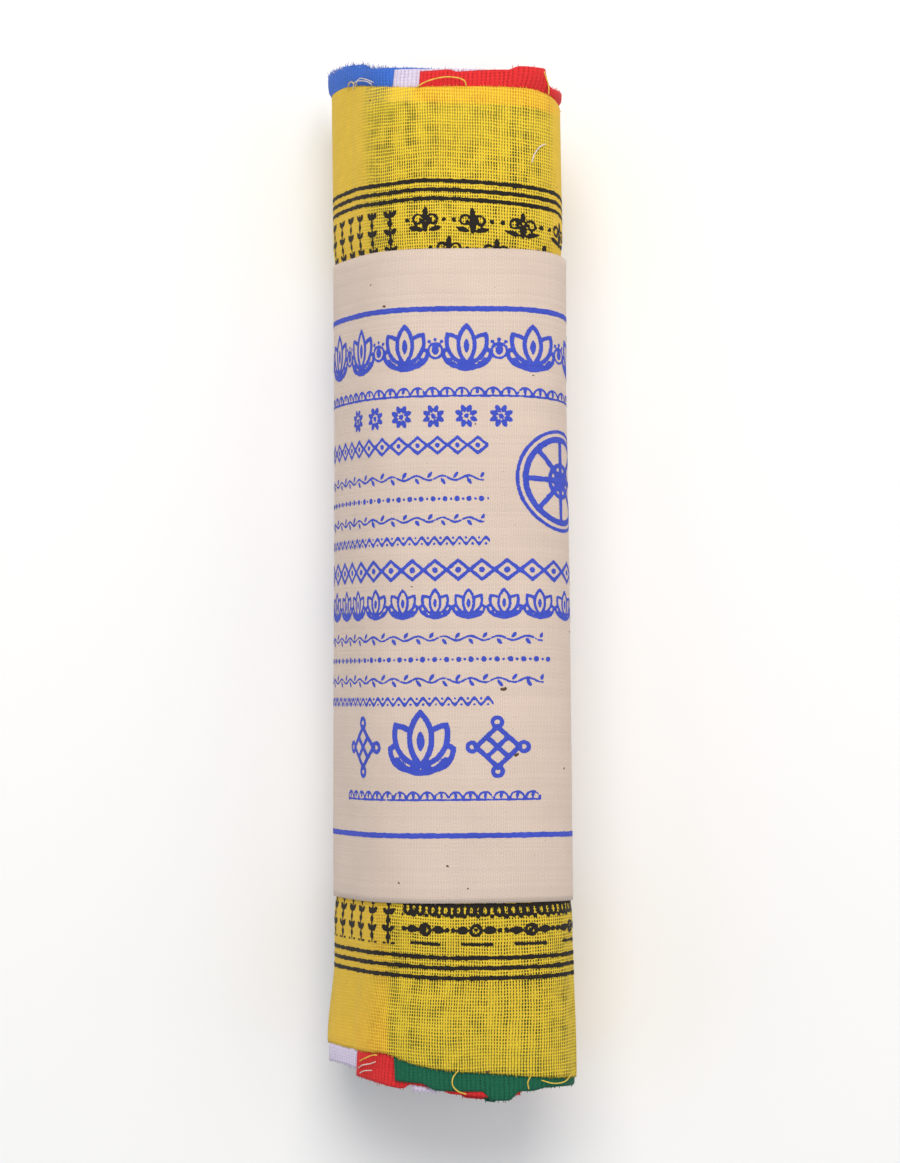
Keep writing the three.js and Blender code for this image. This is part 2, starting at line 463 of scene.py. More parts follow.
def flag_point(number, turn, rows, under):
    """A point of one of the wound flags, by its angle, its row and its depth in the cloth. Past
    the outer flag's ends, the corners at both sides stand out where nothing holds them."""
    angle = np.radians(turn)
    ripple = 0.12 * np.sin(3 * angle + 2.1 * number) + 0.08 * np.sin(7 * angle + number)
    depth = flag_depth(number, turn, rows) + ripple * near_cut(number, rows)
    left = 1 - smooth(turn, 225, 250)
    depth = depth - 1.3 * left * smooth(turn, 140, 165) * smooth(rows, 107.5, 110.5)
    depth = depth - 0.6 * left * smooth(turn, 130, 150) * smooth(-rows, 104.5, 107)
    y = rows + flag_ends(number, turn, rows)
    right = smooth(turn, -20, 0) * (1 - smooth(turn, 42, 60))
    free_from = 106.3 + 2.0 * smooth(turn, 30, 45)
    depth = depth - 1.2 * right * smooth(y - free_from, 0.0, 2.5)
    return rolled(depth + under, angle, y)


for number in range(OUTER):
    dye = flag_dye[number]
    step = 1.5 if number >= FIRST_SHOWN else 4.0
    share = np.linspace(0, 1, int(flag_span[number] / step) + 1)[:, None]
    up, down = flag_up[number], flag_down[number]
    rows = np.concatenate([down + END_ROWS, MIDDLE_ROWS, (up - END_ROWS)[::-1]])[None, :]
    turn = flag_end[number] + flag_lean[number] * rows - flag_span[number] * (1 - share)
    outer = flag_point(number, turn, rows, 0.0)
    inner = flag_point(number, turn, rows, CLOTH)
    flat = np.stack(np.broadcast_arrays(-FLAG_WIDTH * share, rows), axis=-1) / 1000
    flag = cloth_object(f"flag_{number + 1:02d}_{dye}", outer, inner, flat, flag_cloth[dye])
    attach(flag, "root")
    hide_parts("flag_roll")

# The outer flag, of open yellow cotton of uneven colour, with painted shade that darkens it
# towards its lower end. It starts under the ends of the last four flags, goes once round the
# whole roll, and laps over its own start low on the left. It is cut askew to its threads, and what
# lies under it shows through the holes of its weave, in painted shade.
CREASES = [
    # across, width, height, lowest row, highest row
    (29.5, 1.0, 0.35, -112, -82),
    (33.5, 1.4, -0.30, -112, -84),
    (-29.0, 1.6, -0.22, -108, -84),
    (-31.0, 1.5, -0.20, 84, 112),
    (9.0, 2.5, -0.12, -110, -90),
]


def thread_rise(across, row):
    """How far a thread that runs round the roll has moved up at this place: at the upper end it
    is highest just left of the crown, and at the lower end it rises to the left."""
    upper = 0.77 - 0.3 * smooth(-across, 5, 15) + 0.8 * smooth(-across, 14, 32)
    upper = upper - 1.75 * smooth(across, -5, 30) - 1.3 * smooth(across, 25, 34)
    lower = 0.25 + 0.75 * smooth(-across, -2, 18)
    return lower + (upper - lower) * smooth(row, -60, 60)


def outer_rims(across):
    """The rows, along the threads, at which the outer flag is cut at its lower and upper end."""
    upper = 108.75 + 4.1 * smooth(-across, 5, 40) - 2.8 * smooth(across, 18, 36)
    lower = -107.45 + 3.5 * smooth(-across, -4, 22) + 0.8 * np.exp(-((across + 14.5) / 4) ** 2)
    lower = lower - 3.0 * smooth(across, 0, 34) + 1.8 * smooth(across, 31, 38)
    back = smooth(across, 60, 84)
    lower, upper = lower + back * (-103.95 - lower), upper + back * (112.85 - upper)
    return lower - thread_rise(across, -108.0), upper - thread_rise(across, 108.0)


def outer_flag_point(across, row, out):
    """A point of the outer flag, by its place across the front from the crown (right is plus) and
    its row, standing out of the cloth by out. A few soft creases run along it."""
    turn = CROWN - np.degrees(across / SECTION_RADIUS)
    for place, width, height, low, high in CREASES:
        along = smooth(row, low - 6, low + 4) * (1 - smooth(row, high - 4, high + 6))
        out = out + height * along * np.exp(-((across - place) / width) ** 2)
    depth = flag_depth(OUTER, turn, row) - out
    return rolled(depth, np.radians(turn), row + thread_rise(across, row))


def color_under(across, row):
    """The colour that lies under the outer flag: that of the last flag which reaches there, going
    from the innermost out."""
    turn = CROWN - np.degrees(across / SECTION_RADIUS)
    y = row + thread_rise(across, row)
    color = np.zeros(np.broadcast(across, row).shape + (3,)) + DYES["yellow"]
    for back in (360, 0):
        for number in range(OUTER):
            low, high = flag_down[number], flag_up[number]
            shift = flag_ends(number, turn - back, np.clip(y, low, high))
            there = flag_there(number, turn - back, y)
            there = there * smooth(high + shift - y, -0.5, 0.5) * smooth(y - low - shift, -0.5, 0.5)
            color = color + there[..., None] * (np.array(DYES[flag_dye[number]]) - color)
    return color


def paint(piece, name, color):
    """Stores a colour for each point of a sheet, the same on both of its faces."""
    colors = np.ones((2,) + color.shape[:-1] + (4,))
    colors[..., :3] = color
    piece.data.attributes.new(name, "FLOAT_COLOR", "POINT").data.foreach_set("color", colors.ravel())


outer_cloth = cotton("open_yellow_cotton", "dyed", "seen_through", hole=(0.33, 0.50), deep=1.0)
outer_end = (CROWN - flag_end[OUTER]) / 180 * np.pi * SECTION_RADIUS
outer_start = outer_end + np.radians(flag_span[OUTER]) * SECTION_RADIUS
across = np.linspace(outer_start, outer_end, 240)[:, None]
low_rim, high_rim = outer_rims(across)
ends = np.linspace(0, 1, 60)[None, :]
row = np.concatenate([low_rim + (-66 - low_rim) * ends, np.linspace(-60, 60, 9)[None, :] + 0 * across,
                      66 + (high_rim - 66) * ends], axis=1)
outer = outer_flag_point(across, row, 0.0)
inner = outer_flag_point(across, row, -CLOTH)
flat = np.stack(np.broadcast_arrays(across, row), axis=-1) / 1000
outer_flag = cloth_object("flag_25_yellow_outer", outer, inner, flat, outer_cloth)

# At both sides, where the cloth slants away, its holes show nearly the threads' colour,
# and the threads there are a warmer yellow.
OUTER_DYE = np.array((0.74, 0.52, 0.040))
SIDE_DYE = np.array((0.76, 0.495, 0.045))
beneath = color_under(across, row)
lower_half = smooth(-row, -60, 60)
closed = smooth(-across, 17.5 - 4.5 * lower_half, 26 - 2 * lower_half) * (1 - smooth(-across, 44, 52))
closed = closed + smooth(across, 21 + 7 * lower_half, 28 + 7 * lower_half) * (1 - smooth(across, 46, 60))
closed = closed[..., None]
pale = smooth(beneath[..., 0], 0.1, 0.5)[..., None]
near_end = smooth(np.abs(row), 86, 106)[..., None]
# Painted shade: the cloth's colour is 7 per cent darker at the lower end, as the light falls from the
# upper end.
painted_lower_shade = 1 - 0.07 * lower_half[..., None]
dyed = OUTER_DYE * painted_lower_shade + 0.2 * (0.3 + 0.7 * near_end) * beneath * (0.9, 0.5, 0.05)
side = SIDE_DYE * painted_lower_shade + 0.12 * near_end * beneath * (0.9, 0.3, 0.0)
dyed = dyed + closed * (side - dyed)
paint(outer_flag, "dyed", dyed)
# Painted shade in the holes: what lies under the flag, much darker and tinted yellow, and less dark near
# the cut ends. Over pale cloth and at the sides, the holes take more of the threads' colour.
seen = (0.25 + 0.2 * near_end) * beneath * (0.9, 0.7, 0.25) + 0.008
seen = seen + np.maximum(0.9 * closed, 0.5 * pale) * (0.88 * dyed - seen)
paint(outer_flag, "seen_through", seen)
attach(outer_flag, "root")
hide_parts("flag_roll")

# The label band: a strip of unbleached cotton round the middle of the roll, lapped over itself
# and glued low on the right-hand side. Its upper right corner stands a little off the roll.
BAND_CLOTH = 0.35
BAND_BULGE = 0.2
BAND_SEAM_AT = 312.0
BAND_LAP = 18.0
BAND_LAP_RISE = 14.0


def band_point(across, row, out):
    """A point of the band, by its place across the front from the crown and along it, standing
    out of its outer face by out. The lapping end lifts over the other."""
    degree = CROWN - np.degrees(across / SECTION_RADIUS)
    angle = np.radians(degree)
    right = smooth(across, 15, 40)
    upper = 0.17 + 0.35 * smooth(-across, 10, 45) - 1.2 * right
    y = BAND_MIDDLE + row - 0.6 * right + (upper + 0.6 * right) * smooth(row, -72, 72)
    lift = (BAND_CLOTH + 0.03) * smooth(degree - BAND_SEAM_AT, 360 - BAND_LAP_RISE, 360)
    corner = 0.55 * smooth(row, 40, 71) * smooth(np.cos(angle - np.radians(14)), 0.6, 1.0)
    radius = face_radius(angle, y, 0.0) + BAND_BULGE + lift + corner + out
    x, y, z = np.broadcast_arrays(radius * np.cos(angle), y, radius * np.sin(angle))
    return (np.stack([x, y, np.maximum(z, -REST_DEPTH)], axis=-1) + AXIS) / 1000


# The band's holes show a darker tone of its cotton, as painted shade; the flecks are specks in the cotton
# itself.
band_cotton = cotton("unbleached_cotton", (0.655, 0.53, 0.45), (0.42, 0.32, 0.26),
                     hole=(0.62, 0.95), deep=0.35, mottle=0.07, threads=0.62,
                     fleck_color=(0.23, 0.14, 0.08))
band_width = np.radians(360 + BAND_LAP) * SECTION_RADIUS
band_start = (CROWN - BAND_SEAM_AT) / 180 * np.pi * SECTION_RADIUS
across = np.linspace(band_start, band_start - band_width, 240)[:, None]
row = np.linspace(-BAND_HALF, BAND_HALF, 90)[None, :]
outer = band_point(across, row, 0.0)
inner = band_point(across, row, -BAND_CLOTH)
flat = np.stack(np.broadcast_arrays(across, row), axis=-1) / 1000
band = cloth_object("label_band_cloth", outer, inner, flat, band_cotton)
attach(band, "root")
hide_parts("label_band")

# The block print on the outer flag, in black ink: three plain lines along each end, and beside
# the band rows of generic ornaments, such as paired scrolls, petals, rings and leaves. The ink is
# a film of small faces just over the threads, with the uneven edge that open cotton gives.
INK_CELL = 0.26                 # mm
INK_OUT = 0.05                  # mm that the ink stands out of the cloth


def joined(*shapes):
    """The union of shapes: the largest of their values at each place."""
    return reduce(np.maximum, shapes)


def stroke(x, y, path, width):
    """Positive inside a pen stroke: half its width less the distance to a chain of points."""
    nearest = np.full(np.broadcast(x, y).shape, 1e9)
    for (ax, ay), (bx, by) in zip(path[:-1], path[1:]):
        dx, dy = bx - ax, by - ay
        share = np.clip(((x - ax) * dx + (y - ay) * dy) / (dx * dx + dy * dy + 1e-12), 0, 1)
        nearest = np.minimum(nearest, np.hypot(x - ax - share * dx, y - ay - share * dy))
    return width / 2 - nearest


def dot(x, y, cx, cy, radius):
    """Positive inside a disc: its radius less the distance to its middle."""
    return radius - np.hypot(x - cx, y - cy)


def ring(x, y, cx, cy, radius, width):
    """Positive on a ring: half its width less the distance to its circle."""
    return width / 2 - np.abs(np.hypot(x - cx, y - cy) - radius)


def petal(x, y, cx, cy, turn, length, width):
    """Positive inside a pointed oval, the overlap of two discs. It starts at (cx, cy) and points
    turn degrees from straight up."""
    c, s = np.cos(np.radians(turn)), np.sin(np.radians(turn))
    along = (x - cx) * s + (y - cy) * c - length / 2
    aside = (x - cx) * c - (y - cy) * s
    disc = (length ** 2 + width ** 2) / (4 * width)
    return disc - np.hypot(along, np.abs(aside) + disc - width / 2)


def curl(cx, cy, radius, start, sweep, shrink, points=14):
    """A chain of points on a spiral: its radius shrinks evenly as it sweeps round."""
    t = np.linspace(0, 1, points)
    angle = np.radians(start + sweep * t)
    r = radius * (1 - shrink * t)
    return list(zip(cx + r * np.cos(angle), cy + r * np.sin(angle)))


def repeated(x, first, pitch):
    """The place within each repeat, from its middle."""
    return np.mod(x - first, pitch) - pitch / 2


def ink_film(name, field, across_span, row_span, place, material, rough):
    """Cells of a grid whose corners lie inside the field on the whole, with the border's corners
    moved to where the field is zero: against its gradient by its value over the steepness. The
    field is roughened by the weave and by two slow waves."""
    across = np.arange(across_span[0], across_span[1], INK_CELL)[:, None]
    row = np.arange(row_span[0], row_span[1], INK_CELL)[None, :]
    weave = np.sin(2 * np.pi * across / THREAD_ACROSS) * np.cos(2 * np.pi * row / THREAD_ALONG)
    drift = np.sin(across * 3.1 + 2 * np.sin(row * 2.3)) * np.sin(row * 4.7 + across)
    wander = np.sin(across * 0.9 + 3 * np.sin(row * 0.13)) * np.sin(across * 0.37 + row)
    value = field(across + 0 * row, row + 0 * across) + rough * (weave + drift + 0.7 * wander)
    inside = (value[:-1, :-1] + value[1:, :-1] + value[:-1, 1:] + value[1:, 1:]) > 0
    slopes = np.gradient(value, INK_CELL)
    steep = slopes[0] ** 2 + slopes[1] ** 2 + 0.05
    touched = np.zeros(value.shape, int)
    for i, j in ((0, 0), (1, 0), (0, 1), (1, 1)):
        touched[i:i + inside.shape[0], j:j + inside.shape[1]] += inside
    border = (touched > 0) & (touched < 4)
    farthest = 0.45 * INK_CELL
    shifts = [np.clip(-value * slope / steep, -farthest, farthest) * border for slope in slopes]
    across, row = across + shifts[0], row + shifts[1]
    used = touched.ravel() > 0
    index = (np.cumsum(used) - 1).reshape(value.shape)
    quads = np.stack([index[:-1, :-1], index[1:, :-1], index[1:, 1:], index[:-1, 1:]], axis=-1)
    places = np.stack([across, row], axis=-1).reshape(-1, 2)[used]
    points = place(places[:, 0], places[:, 1], INK_OUT)
    film = mesh_object(name, points, quads[inside], material, places / 1000)
    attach(film, "root")
    return film


def ink(name, color, faded):
    """Ink that has soaked into cotton: the threads show in it, and it wears thin in places."""
    return cotton(name, color, faded, hole=(0.55, 0.9), deep=0.5, mottle=0.2)


LINE_ROWS = (87.2, 85.2, 83.2, -83.2, -85.4, -87.6)
LINE_WIDTH = 0.9


def outer_lines(x, y):
    """The plain lines: half the width less the distance from each row."""
    distance = np.min([np.abs(y - row) for row in LINE_ROWS], axis=0)
    return LINE_WIDTH / 2 - distance


def paired_scrolls(x, y):
    """Two mirrored scrolls on a common stem, a drop above and a leaf at either side."""
    x = np.abs(x)
    return joined(stroke(x, y, curl(1.75, 0.2, 1.5, 215, -420, 0.62), 0.6),
                  stroke(x, y, [(0.0, -2.2), (0.4, -0.7)], 0.8),
                  petal(x, y, 0, 0.7, 0, 2.4, 1.2),
                  petal(x, y, 0.4, -2.2, 76, 3.7, 1.1),
                  dot(x, y, 4.3, 0.3, 0.5))


def leaf_chain(x, y, pitch):
    """An upright stem with a pair of leaves and a bud at each repeat."""
    v = repeated(y, 0.0, pitch)
    x = np.abs(x)
    return joined(stroke(x, v, [(0, -pitch / 2), (0, pitch / 2)], 0.55),
                  petal(x, v, 0.1, -1.4, 52, 2.2, 1.2),
                  dot(x, v, 0, 1.1, 0.72))


def upper_ornaments(x, y):
    """Two rows of paired scrolls, the second set between the first, and leaf chains at left."""
    first = np.where(x > -10.4, paired_scrolls(repeated(x, -10.4, 11.0), y - 78.3), -1.0)
    second = np.where(x > -4.9, paired_scrolls(repeated(x, -4.9, 11.0), y - 72.0), -1.0)
    chains = leaf_chain(repeated(x, -52.0, 5.9), y - 1.2, 3.9)
    chains = np.where((x > -52.0) & (x < -10.7) & (y < 81.4), chains, -1.0)
    return joined(first, second, chains)


def ring_and_leaves(x, y):
    """A ring with a dot, between two leaves that point away from it, with a bead at each end."""
    x = np.abs(x)
    return joined(ring(x, y, 0, 0, 1.1, 0.75), dot(x, y, 0, 0, 0.4),
                  petal(x, y, 1.5, 0, 90, 3.0, 1.7), dot(x, y, 5.0, 0.0, 0.6))


def lower_ornaments(x, y):
    """A border of petals with beads, a row of rings and leaves, and dashes, with leaf chains to
    the left of them."""
    u = repeated(x, -12.0, 2.95)
    border = petal(u, y, 0, -71.5, 180, 2.9, 2.5)
    border = np.minimum(border, -petal(u, y, 0, -72.1, 180, 1.5, 0.75))
    border = joined(border, 0.4 - np.abs(y + 71.8), dot(np.abs(u), y, 1.47, -74.2, 0.5))
    u = repeated(x, -12.0, 11.4)
    dashes = stroke(u, y + 80.2, [(-3.2, 0), (3.2, -0.1)], 0.7)
    shape = np.where(x > -12.0, joined(border, ring_and_leaves(u, y + 77.2), dashes), -1.0)
    chains = leaf_chain(repeated(x, -52.0, 5.6), y + 1.0, 3.7)
    chains = np.where((x > -52.0) & (x < -12.6) & (y > -80.9), chains, -1.0)
    return joined(shape, chains)


black_ink = ink("black_ink", (0.020, 0.017, 0.015), (0.07, 0.05, 0.02))
round_the_roll = (-54.2, 103.0)
prints = [
    ("print_lines_upper", outer_lines, (82.0, 88.6)),
    ("print_lines_lower", outer_lines, (-89.0, -82.0)),
    ("print_ornaments_upper", upper_ornaments, (69.0, 81.8)),
    ("print_ornaments_lower", lower_ornaments, (-81.4, -69.5)),
]
for name, field, row_span in prints:
    film = ink_film(name, field, round_the_roll, row_span, outer_flag_point, black_ink, 0.11)

# The print on the label band, in blue ink: a rule near each edge, and between them rows of
# generic ornaments (lotus, jewels, petals, rosettes, lozenges, vines, beads, waves, a wheel and
# endless knots).


def lotus(x, y, size):
    """Five petals in a fan, each drawn as an outline that hides what is behind it, over a bowed
    base."""
    shape = np.full(x.shape, -1.0)
    for turn, length in ((-64, 0.72), (64, 0.72), (-34, 0.92), (34, 0.92), (0, 1.0)):
        whole = petal(x, y, 0, -0.36 * size, turn, length * size, 0.44 * size)
        shape = np.minimum(shape, -whole - 0.05 * size)
        shape = np.maximum(shape, 0.055 * size - np.abs(whole))
    heart = petal(x, y, 0, -0.1 * size, 0, 0.4 * size, 0.16 * size)
    base = stroke(x, y, curl(0, 0.12 * size, 0.62 * size, 218, 104, 0.0), 0.12 * size)
    return joined(shape, heart, base)


def jewel(x, y, size):
    """A drop in a ring, with three small beads over it."""
    drop = petal(x, y, 0, -0.18 * size, 0, 0.42 * size, 0.3 * size)
    beads_over = [dot(x, y, 0.46 * size * np.sin(angle), 0.46 * size * np.cos(angle), 0.075 * size)
                  for angle in np.radians((-35, 0, 35))]
    return joined(drop, ring(x, y, 0, 0, 0.3 * size, 0.1 * size), *beads_over)


def wheel(x, y, size):
    """Two rims, a ring round the hub and a hub, with eight spokes."""
    distance, angle = np.hypot(x, y), np.arctan2(y, x)
    spoke = np.abs(np.sin(4 * angle)) * distance / 4
    spokes = np.minimum(0.026 * size - spoke, 0.44 * size - distance)
    rings = [ring(x, y, 0, 0, radius * size, width * size)
             for radius, width in ((0.42, 0.06), (0.5, 0.035), (0.16, 0.045))]
    return joined(spokes, *rings, dot(x, y, 0, 0, 0.08 * size))


def endless_knot(x, y, size):
    """A lattice of slanting bars inside a lozenge, with a loop at each of its four corners."""
    a, b = (x + y) / np.sqrt(2), (x - y) / np.sqrt(2)
    step = 0.25 * size
    bars = joined(*[0.04 * size - np.abs(repeated(slant, -step / 2, step)) for slant in (a, b)])
    lattice = np.minimum(bars, step + 0.04 * size - joined(np.abs(a), np.abs(b)))
    loops = [ring(x, y, cx * 0.43 * size, cy * 0.43 * size, 0.08 * size, 0.07 * size)
             for cx, cy in ((0, 1), (0, -1), (1, 0), (-1, 0))]
    return joined(lattice, *loops)


def lozenge(x, y, size):
    """A lozenge's outline with a dot in it."""
    reach = np.abs(x) * 0.8 + np.abs(y)
    outline = 0.075 * size - np.abs(reach - 0.42 * size) * 0.78
    return joined(outline, dot(x, y, 0, 0, 0.13 * size))


def rosette(x, y, size):
    """Eight petals round a bead."""
    distance, angle = np.hypot(x, y), np.arctan2(y, x)
    turned = repeated(angle, 0, np.pi / 4)
    eight = petal(distance * np.sin(turned), distance * np.cos(turned),
                  0, 0.14 * size, 0, 0.34 * size, 0.2 * size)
    return joined(eight, dot(x, y, 0, 0, 0.1 * size))


def petals(x, y, size):
    """A border of arches with a drop in each, on a plain line."""
    u = repeated(x, 0, 0.95 * size)
    arches = np.minimum(ring(u, y, 0, -0.3 * size, 0.42 * size, 0.12 * size), y + 0.3 * size)
    drops = petal(u, y, 0, -0.3 * size, 0, 0.42 * size, 0.2 * size)
    return joined(arches, drops, 0.06 * size - np.abs(y + 0.38 * size))


def vine(x, y, size):
    """A waving stem with a leaf on alternate sides."""
    u = repeated(x, 0, 2 * size)
    stem = 0.065 * size - 0.9 * np.abs(y - 0.16 * size * np.sin(np.pi * u / size))
    return joined(petal(u, y, -0.62 * size, 0.0, 38, 0.58 * size, 0.26 * size),
                  petal(u, y, 0.38 * size, 0.0, 142, 0.58 * size, 0.26 * size), stem)


def beads(x, y, size):
    """Large and small beads by turns."""
    u = repeated(x, 0, 1.1 * size)
    return joined(dot(u, y, 0, 0, 0.24 * size), dot(np.abs(u), y, 0.55 * size, 0, 0.12 * size))


def wave(x, y, size):
    """A running wave with a bead in each bend."""
    u = repeated(x, 0, size)
    line = 0.1 * size - 0.75 * np.abs(y - 0.24 * size * np.cos(2 * np.pi * u / size))
    return joined(line, dot(u, y, 0, -0.22 * size, 0.1 * size),
                  dot(np.abs(u), y, 0.5 * size, 0.22 * size, 0.1 * size))


def row_of(motif, x, y, middle, size, pitch, left, right):
    """A row of one ornament, clipped to the span from left to right. A pitch of 0 is for those
    that repeat by themselves."""
    u = repeated(x, left, pitch) if pitch else x - left
    shape = motif(u, y - middle, size)
    return np.where((x > left) & (x < right) & (np.abs(y - middle) < 0.75 * size), shape, -1.0)


RULES = (58.45, -57.1)
RULE_WIDTH = 1.15
ORNAMENT_ROWS = [
    # ornament, middle row, size, pitch, from, to
    (lotus, 49.4, 8.4, 14.4, -60.4, 40.4),
    (jewel, 49.2, 5.4, 14.4, -53.2, 47.6),
    (petals, 40.6, 3.6, 0, -60.0, 50.0),
    (rosette, 34.8, 5.6, 7.6, -30.0, 15.6),
    (lozenge, 28.4, 4.2, 4.6, -60.0, 9.0),
    (vine, 21.2, 3.0, 0, -60.0, 8.0),
    (beads, 16.6, 2.5, 0, -60.0, 9.0),
    (vine, 12.0, 3.0, 0, -60.0, 8.0),
    (wave, 7.4, 2.9, 0, -60.0, 9.1),
    (lozenge, 1.0, 5.0, 5.3, -59.0, 47.0),
    (lotus, -6.8, 5.4, 7.6, -60.4, 46.0),
    (vine, -14.0, 3.0, 0, -60.0, 20.0),
    (beads, -18.6, 2.5, 0, -60.0, 22.1),
    (vine, -23.2, 3.0, 0, -60.0, 20.0),
    (wave, -27.8, 2.9, 0, -60.0, 9.2),
    (petals, -48.0, 3.4, 0, -33.0, 19.0),
]


def band_print(x, y):
    """The two rules, the rows of ornaments, a wheel at the right of the small rows, and a lotus
    between two endless knots below them."""
    rules = RULE_WIDTH / 2 - np.min([np.abs(y - rule) for rule in RULES], axis=0)
    rows = [row_of(motif, x, y, *measures) for motif, *measures in ORNAMENT_ROWS]
    return joined(rules, *rows, wheel(x - 26.0, y - 21.2, 22.0),
                  endless_knot(x + 24.0, y + 37.8, 12.5), lotus(x + 7.0, y + 37.6, 11.5),
                  endless_knot(x - 10.0, y + 37.8, 12.5))


blue_ink = ink("blue_ink", (0.050, 0.080, 0.50), (0.20, 0.20, 0.47))
film = ink_film("print_band", band_print, (-61.0, 52.0), (-58.2, 60.4), band_point, blue_ink, 0.06)

# Frayed edges: the ends of the cut threads stand out of the flags' raw ends, short and close on
# the outer flag and the band, and longer and more tangled at the upper left corner.


def thread_color(name, color):
    """Plain matt cotton thread, lighter and darker along its length."""
    material = bpy.data.materials.new(name)
    material.use_nodes = True
    tree = material.node_tree
    shader = tree.nodes["Principled BSDF"]
    place = tree.nodes.new("ShaderNodeTexCoord").outputs["Object"]
    uneven = shader_ramp(tree, shader_noise(tree, place, 900.0), 0.3, 0.7)
    mixed = shader_mix(tree, uneven, tuple(0.72 * value for value in color), color)
    plug(tree, shader, {"Roughness": 0.95, "Specular IOR Level": 0.1, "Base Color": mixed})
    return material


def unit(way):
    """Each direction divided by its length."""
    return way / np.linalg.norm(way, axis=1, keepdims=True)


def thread_ends(roots, tips, bends, thickness):
    """Three-sided thread ends, each from its root past a bend to its tip, thinning to a point:
    arrays of points and faces. The sides are laid out round the line from root to tip."""
    way = unit(tips - roots)
    aside = unit(np.cross(way, (0.31, 0.17, 0.93)))
    third = np.cross(way, aside)
    rings = []
    for middle, share in ((roots, 1.0), (0.5 * (roots + tips) + bends, 0.9), (tips, 0.45)):
        for angle in np.radians((0, 120, 240)):
            offset = np.cos(angle) * aside + np.sin(angle) * third
            rings.append(middle + 0.5 * thickness * share * offset)
    points = np.stack(rings, axis=1).reshape(-1, 3)
    sides = ((0, 1), (1, 2), (2, 0), (3, 4), (4, 5), (5, 3))
    one = [(side, after, after + 3, side + 3) for side, after in sides] + [(0, 2, 1, 1), (6, 7, 8, 8)]
    faces = (9 * np.arange(len(roots))[:, None, None] + np.array(one)[None]).reshape(-1, 4)
    return points, faces


def thread_object(name, parts, material):
    """One object from several arrays of threads, each with its points and its faces."""
    points = np.concatenate([part[0] for part in parts])
    starts = np.cumsum([0] + [len(part[0]) for part in parts[:-1]])
    faces = np.concatenate([part[1] + start for part, start in zip(parts, starts)])
    piece = mesh_object(name, points, faces, material)
    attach(piece, "root")


def fringe(place, share, inward, lengths, scatter, thickness):
    """Thread ends along a cut edge: place(share, inset) gives the edge's points, and the threads
    run on past it, away from the cloth. inset is measured from the edge, up the roll."""
    count = len(share)
    roots = place(share, 0.25 * inward)
    way = unit(place(share, 0.0 * share) - place(share, 1.5 * inward))
    length = draw.uniform(*lengths, count)[:, None] / 1000
    tips = roots + (length + 0.00025) * (way + draw.normal(0, scatter, (count, 3)))
    bends = draw.normal(0, 0.12, (count, 3)) * length
    return thread_ends(roots, tips, bends, thickness / 1000)


def flag_edge(number, edge, share, inset):
    """The point at a share of a flag's length and an inset up from its cut edge, in the middle of
    its cloth."""
    row = edge + inset
    turn = flag_end[number] - flag_span[number] * (1 - share) + flag_lean[number] * row
    return flag_point(number, turn, row, CLOTH / 2)


def rim_edge(rim, share, inset):
    """The same for the outer flag, by its lower (0) or upper (1) cut edge."""
    across = outer_start + share * (outer_end - outer_start)
    return outer_flag_point(across, outer_rims(across)[rim] + inset, -CLOTH / 2)


def band_edge(edge, share, inset):
    """The same for the band, by the row of its cut edge."""
    return band_point(band_start - share * band_width, edge + inset, -BAND_CLOTH / 2)


fringes = {dye: [] for dye in DYES}
for number in range(OUTER):
    for edge, inward in ((flag_up[number], -1.0), (flag_down[number], 1.0)):
        cut = partial(flag_edge, number, edge)
        count = 500 if number >= FIRST_SHOWN else 200
        share = (np.arange(count) + draw.uniform(0.2, 0.8, count)) / count
        fringes[flag_dye[number]].append(fringe(cut, share, inward, (0.02, 0.4), 0.22, 0.22))
        if number == FIRST_SHOWN and inward < 0:
            share = 1 - draw.uniform(0.005, 0.13, 170)
            fringes["blue"].append(fringe(cut, share, inward, (0.1, 0.55), 0.45, 0.16))
            share = 1 - draw.uniform(0.01, 0.12, 45)
            fringes["white"].append(fringe(cut, share, 2.2 * inward, (0.1, 0.8), 0.6, 0.12))
share = (np.arange(329) + 0.5) / 329
for rim, inward in ((1, -1.0), (0, 1.0)):
    fringes["yellow"].append(fringe(partial(rim_edge, rim), share, inward, (0.05, 0.42), 0.12, 0.3))
for dye, parts in fringes.items():
    color = tuple(1.1 * value for value in DYES[dye])
    thread_object(f"frayed_{dye}", parts, thread_color(f"{dye}_thread", color))
share = (np.arange(440) + draw.uniform(0.2, 0.8, 440)) / 440
band_fray = [fringe(partial(band_edge, BAND_HALF), share, -1.0, (0.0, 0.25), 0.2, 0.22),
             fringe(partial(band_edge, -BAND_HALF), share, 1.0, (0.0, 0.15), 0.15, 0.22)]
pale_thread = thread_color("pale_thread", (0.72, 0.62, 0.54))
thread_object("frayed_band", band_fray, pale_thread)

# Loose threads that the cut ends have shed, and specks of husk caught in the cotton. Each thread
# lies in loose bends on the cloth under it.


